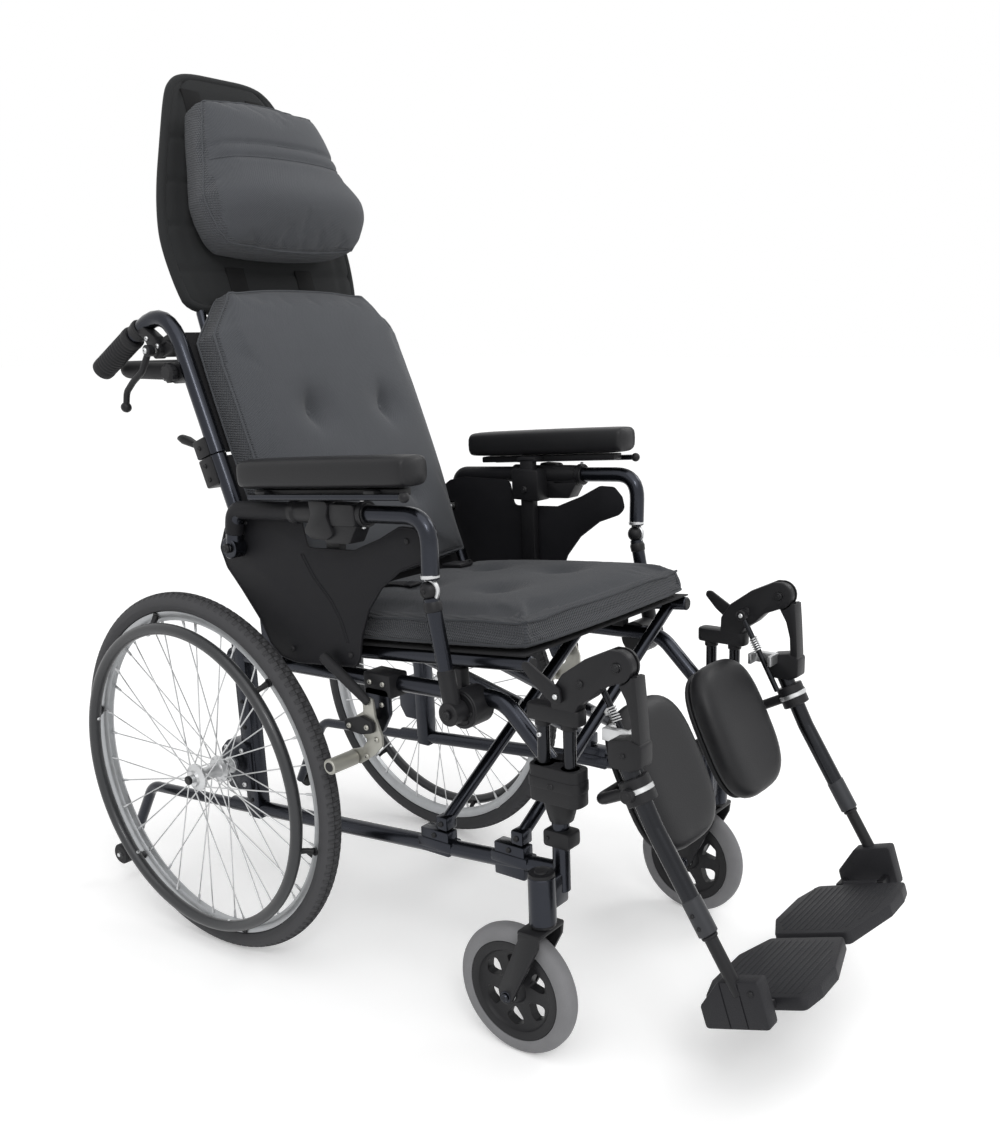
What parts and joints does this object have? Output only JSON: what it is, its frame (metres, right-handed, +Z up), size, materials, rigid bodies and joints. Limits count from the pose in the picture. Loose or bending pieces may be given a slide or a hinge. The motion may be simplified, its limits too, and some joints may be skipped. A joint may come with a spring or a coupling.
{
  "type": "reclining wheelchair",
  "caption": "Manual reclining wheelchair with spoked rear wheels, hand rims, casters, padded seat, back and head support, armrests that follow the recline, and elevating legrests.",
  "frame": {"origin": "on the floor, at the middle of the bounding box", "axes": "+Z up, the chair faces -Y, the sitter's left is +X"},
  "size_m": [0.6414, 1.416, 1.4052],
  "materials": {
    "frame_metal": "gloss",
    "bright_metal": "satin",
    "black_plastic": "matte",
    "tyre_rubber": "matte",
    "caster_rubber": "matte",
    "seat_fabric": "matte",
    "black_fabric": "matte",
    "black_vinyl": "satin"
  },
  "bodies": {
    "frame": {"right_side_frame": "frame_metal", "left_side_frame": "frame_metal", "cross_brace_a": "frame_metal", "cross_brace_b": "frame_metal", "seat_sling": "black_fabric", "seat_cushion": "seat_fabric"},
    "backrest": {"right_back_cane": "frame_metal", "left_back_cane": "frame_metal", "back_cushion": "seat_fabric"},
    "upper_back": {"right_upper_cane": "frame_metal", "left_upper_cane": "frame_metal", "right_push_grip": "black_plastic", "left_push_grip": "black_plastic"},
    "head_support": {"head_panel": "black_fabric", "head_pillow": "seat_fabric"},
    "stabiliser": {"stabiliser_bar": "black_plastic"},
    "right_wheel": {"right_rear_wheel": "bright_metal", "right_rear_tyre": "tyre_rubber", "right_hand_rim": "black_plastic"},
    "right_caster": {"right_caster_fork": "frame_metal"},
    "right_caster_wheel": {"right_caster_hub": "black_plastic", "right_caster_tyre": "caster_rubber"},
    "right_tip_roller": {"right_anti_tip_roller": "caster_rubber"},
    "right_lever": {"right_recline_lever": "black_plastic"},
    "right_arm": {"right_arm_frame": "frame_metal", "right_side_panel": "black_plastic"},
    "right_link": {"right_arm_link": "black_plastic"},
    "right_arm_rest": {"right_arm_post": "black_plastic", "right_arm_pad": "black_vinyl"},
    "right_hanger": {"right_legrest_hanger": "black_plastic"},
    "right_release": {"right_release_lever": "black_plastic"},
    "right_leg": {"right_leg_tube": "frame_metal"},
    "right_rod": {"right_leg_rod": "bright_metal"},
    "right_stem": {"right_foot_stem": "black_plastic"},
    "right_foot": {"right_footplate": "black_plastic"},
    "right_calf": {"right_calf_pad": "black_vinyl"},
    "right_lock": {"right_wheel_lock": "bright_metal"},
    "left_wheel": {"left_rear_wheel": "bright_metal", "left_rear_tyre": "tyre_rubber", "left_hand_rim": "black_plastic"},
    "left_caster": {"left_caster_fork": "frame_metal"},
    "left_caster_wheel": {"left_caster_hub": "black_plastic", "left_caster_tyre": "caster_rubber"},
    "left_tip_roller": {"left_anti_tip_roller": "caster_rubber"},
    "left_lever": {"left_recline_lever": "black_plastic"},
    "left_arm": {"left_arm_frame": "frame_metal", "left_side_panel": "black_plastic"},
    "left_link": {"left_arm_link": "black_plastic"},
    "left_arm_rest": {"left_arm_post": "black_plastic", "left_arm_pad": "black_vinyl"},
    "left_hanger": {"left_legrest_hanger": "black_plastic"},
    "left_release": {"left_release_lever": "black_plastic"},
    "left_leg": {"left_leg_tube": "frame_metal"},
    "left_rod": {"left_leg_rod": "bright_metal"},
    "left_stem": {"left_foot_stem": "black_plastic"},
    "left_foot": {"left_footplate": "black_plastic"},
    "left_calf": {"left_calf_pad": "black_vinyl"},
    "left_lock": {"left_wheel_lock": "bright_metal"}
  },
  "joints": [
    {"name": "recline", "type": "hinge", "parent": "frame", "child": "backrest", "pos_m": [0, 0.20099, 0.522], "axis": [1, 0, 0], "range_deg": [-40, 6]},
    {"name": "back_fold", "type": "hinge", "parent": "backrest", "child": "upper_back", "pos_m": [0, 0.3221, 0.81334], "axis": [-1, 0, 0], "range_deg": [0, 85]},
    {"name": "head_height", "type": "slide", "parent": "upper_back", "child": "head_support", "axis": [0, 0.2588, 0.9659], "range_m": [0, 0.08]},
    {"name": "stabiliser_swing", "type": "hinge", "parent": "upper_back", "child": "stabiliser", "pos_m": [0, 0.36235, 0.94669], "axis": [1, 0, 0], "range_deg": [-75, 10]},
    {"name": "right_wheel_spin", "type": "hinge", "parent": "frame", "child": "right_wheel", "pos_m": [-0.2775, 0.33599, 0.305], "axis": [1, 0, 0], "continuous": true},
    {"name": "right_caster_swivel", "type": "hinge", "parent": "frame", "child": "right_caster", "pos_m": [-0.249, -0.33201, 0.24], "axis": [0, 0, 1], "continuous": true},
    {"name": "right_caster_spin", "type": "hinge", "parent": "right_caster", "child": "right_caster_wheel", "pos_m": [-0.249, -0.28501, 0.0995], "axis": [1, 0, 0], "continuous": true},
    {"name": "right_tip_roller_spin", "type": "hinge", "parent": "frame", "child": "right_tip_roller", "pos_m": [-0.2275, 0.68799, 0.052], "axis": [1, 0, 0], "continuous": true},
    {"name": "right_lever_pull", "type": "hinge", "parent": "upper_back", "child": "right_lever", "pos_m": [-0.25, 0.3993, 0.97985], "axis": [1, 0, 0], "range_deg": [0, 15], "stiffness_Nm_per_rad": 0.6},
    {"name": "right_arm_tilt", "type": "hinge", "parent": "backrest", "child": "right_arm", "pos_m": [-0.258, 0.23299, 0.69], "axis": [1, 0, 0], "range_deg": [-6, 40]},
    {"name": "right_link_tilt", "type": "hinge", "parent": "frame", "child": "right_link", "pos_m": [-0.258, -0.19601, 0.5], "axis": [1, 0, 0], "range_deg": [-40, 6]},
    {"name": "right_arm_height", "type": "slide", "parent": "right_arm", "child": "right_arm_rest", "axis": [0, 0, 1], "range_m": [0, 0.06]},
    {"name": "right_hanger_swing", "type": "hinge", "parent": "frame", "child": "right_hanger", "pos_m": [-0.2315, -0.32901, 0.48], "axis": [0, 0, -1], "range_deg": [0, 100]},
    {"name": "right_release_pull", "type": "hinge", "parent": "right_hanger", "child": "right_release", "pos_m": [-0.2475, -0.36401, 0.549], "axis": [-1, 0, 0], "range_deg": [0, 20], "stiffness_Nm_per_rad": 0.3},
    {"name": "right_leg_raise", "type": "hinge", "parent": "right_hanger", "child": "right_leg", "pos_m": [-0.2315, -0.45401, 0.6], "axis": [-1, 0, 0], "range_deg": [0, 62]},
    {"name": "right_rod_swing", "type": "hinge", "parent": "right_hanger", "child": "right_rod", "pos_m": [-0.203, -0.39901, 0.566], "axis": [-1, 0, 0], "range_deg": [0, 49]},
    {"name": "right_foot_length", "type": "slide", "parent": "right_leg", "child": "right_stem", "axis": [0, -0.536, -0.8442], "range_m": [0, 0.045]},
    {"name": "right_foot_flip", "type": "hinge", "parent": "right_stem", "child": "right_foot", "pos_m": [-0.196, -0.62187, 0.15929], "axis": [0, -0.9511, 0.309], "range_deg": [0, 88]},
    {"name": "right_calf_swing", "type": "hinge", "parent": "right_leg", "child": "right_calf", "pos_m": [-0.2315, -0.47786, 0.43879], "axis": [0, 0.4586, 0.8886], "range_deg": [-75, 0]},
    {"name": "right_lock_pull", "type": "hinge", "parent": "frame", "child": "right_lock", "pos_m": [-0.25, -0.01201, 0.448], "axis": [1, 0, 0], "range_deg": [0, 33]},
    {"name": "left_wheel_spin", "type": "hinge", "parent": "frame", "child": "left_wheel", "pos_m": [0.2775, 0.33599, 0.305], "axis": [1, 0, 0], "continuous": true},
    {"name": "left_caster_swivel", "type": "hinge", "parent": "frame", "child": "left_caster", "pos_m": [0.249, -0.33201, 0.24], "axis": [0, 0, 1], "continuous": true},
    {"name": "left_caster_spin", "type": "hinge", "parent": "left_caster", "child": "left_caster_wheel", "pos_m": [0.249, -0.28501, 0.0995], "axis": [1, 0, 0], "continuous": true},
    {"name": "left_tip_roller_spin", "type": "hinge", "parent": "frame", "child": "left_tip_roller", "pos_m": [0.2275, 0.68799, 0.052], "axis": [1, 0, 0], "continuous": true},
    {"name": "left_lever_pull", "type": "hinge", "parent": "upper_back", "child": "left_lever", "pos_m": [0.25, 0.3993, 0.97985], "axis": [1, 0, 0], "range_deg": [0, 15], "stiffness_Nm_per_rad": 0.6},
    {"name": "left_arm_tilt", "type": "hinge", "parent": "backrest", "child": "left_arm", "pos_m": [0.258, 0.23299, 0.69], "axis": [1, 0, 0], "range_deg": [-6, 40]},
    {"name": "left_link_tilt", "type": "hinge", "parent": "frame", "child": "left_link", "pos_m": [0.258, -0.19601, 0.5], "axis": [1, 0, 0], "range_deg": [-40, 6]},
    {"name": "left_arm_height", "type": "slide", "parent": "left_arm", "child": "left_arm_rest", "axis": [0, 0, 1], "range_m": [0, 0.06]},
    {"name": "left_hanger_swing", "type": "hinge", "parent": "frame", "child": "left_hanger", "pos_m": [0.2315, -0.32901, 0.48], "axis": [0, 0, 1], "range_deg": [0, 100]},
    {"name": "left_release_pull", "type": "hinge", "parent": "left_hanger", "child": "left_release", "pos_m": [0.2475, -0.36401, 0.549], "axis": [-1, 0, 0], "range_deg": [0, 20], "stiffness_Nm_per_rad": 0.3},
    {"name": "left_leg_raise", "type": "hinge", "parent": "left_hanger", "child": "left_leg", "pos_m": [0.2315, -0.45401, 0.6], "axis": [-1, 0, 0], "range_deg": [0, 62]},
    {"name": "left_rod_swing", "type": "hinge", "parent": "left_hanger", "child": "left_rod", "pos_m": [0.203, -0.39901, 0.566], "axis": [-1, 0, 0], "range_deg": [0, 49]},
    {"name": "left_foot_length", "type": "slide", "parent": "left_leg", "child": "left_stem", "axis": [0, -0.536, -0.8442], "range_m": [0, 0.045]},
    {"name": "left_foot_flip", "type": "hinge", "parent": "left_stem", "child": "left_foot", "pos_m": [0.196, -0.62187, 0.15929], "axis": [0, 0.9511, -0.309], "range_deg": [0, 88]},
    {"name": "left_calf_swing", "type": "hinge", "parent": "left_leg", "child": "left_calf", "pos_m": [0.2315, -0.47786, 0.43879], "axis": [0, -0.4586, -0.8886], "range_deg": [-75, 0]},
    {"name": "left_lock_pull", "type": "hinge", "parent": "frame", "child": "left_lock", "pos_m": [0.25, -0.01201, 0.448], "axis": [1, 0, 0], "range_deg": [0, 33]}
  ],
  "couplings": [
    {"joint": "right_arm_tilt", "follows": "recline", "ratio": -1},
    {"joint": "right_link_tilt", "follows": "recline", "ratio": 1},
    {"joint": "right_rod_swing", "follows": "right_leg_raise", "ratio": 0.784},
    {"joint": "left_arm_tilt", "follows": "recline", "ratio": -1},
    {"joint": "left_link_tilt", "follows": "recline", "ratio": 1},
    {"joint": "left_rod_swing", "follows": "left_leg_raise", "ratio": 0.784}
  ]
}
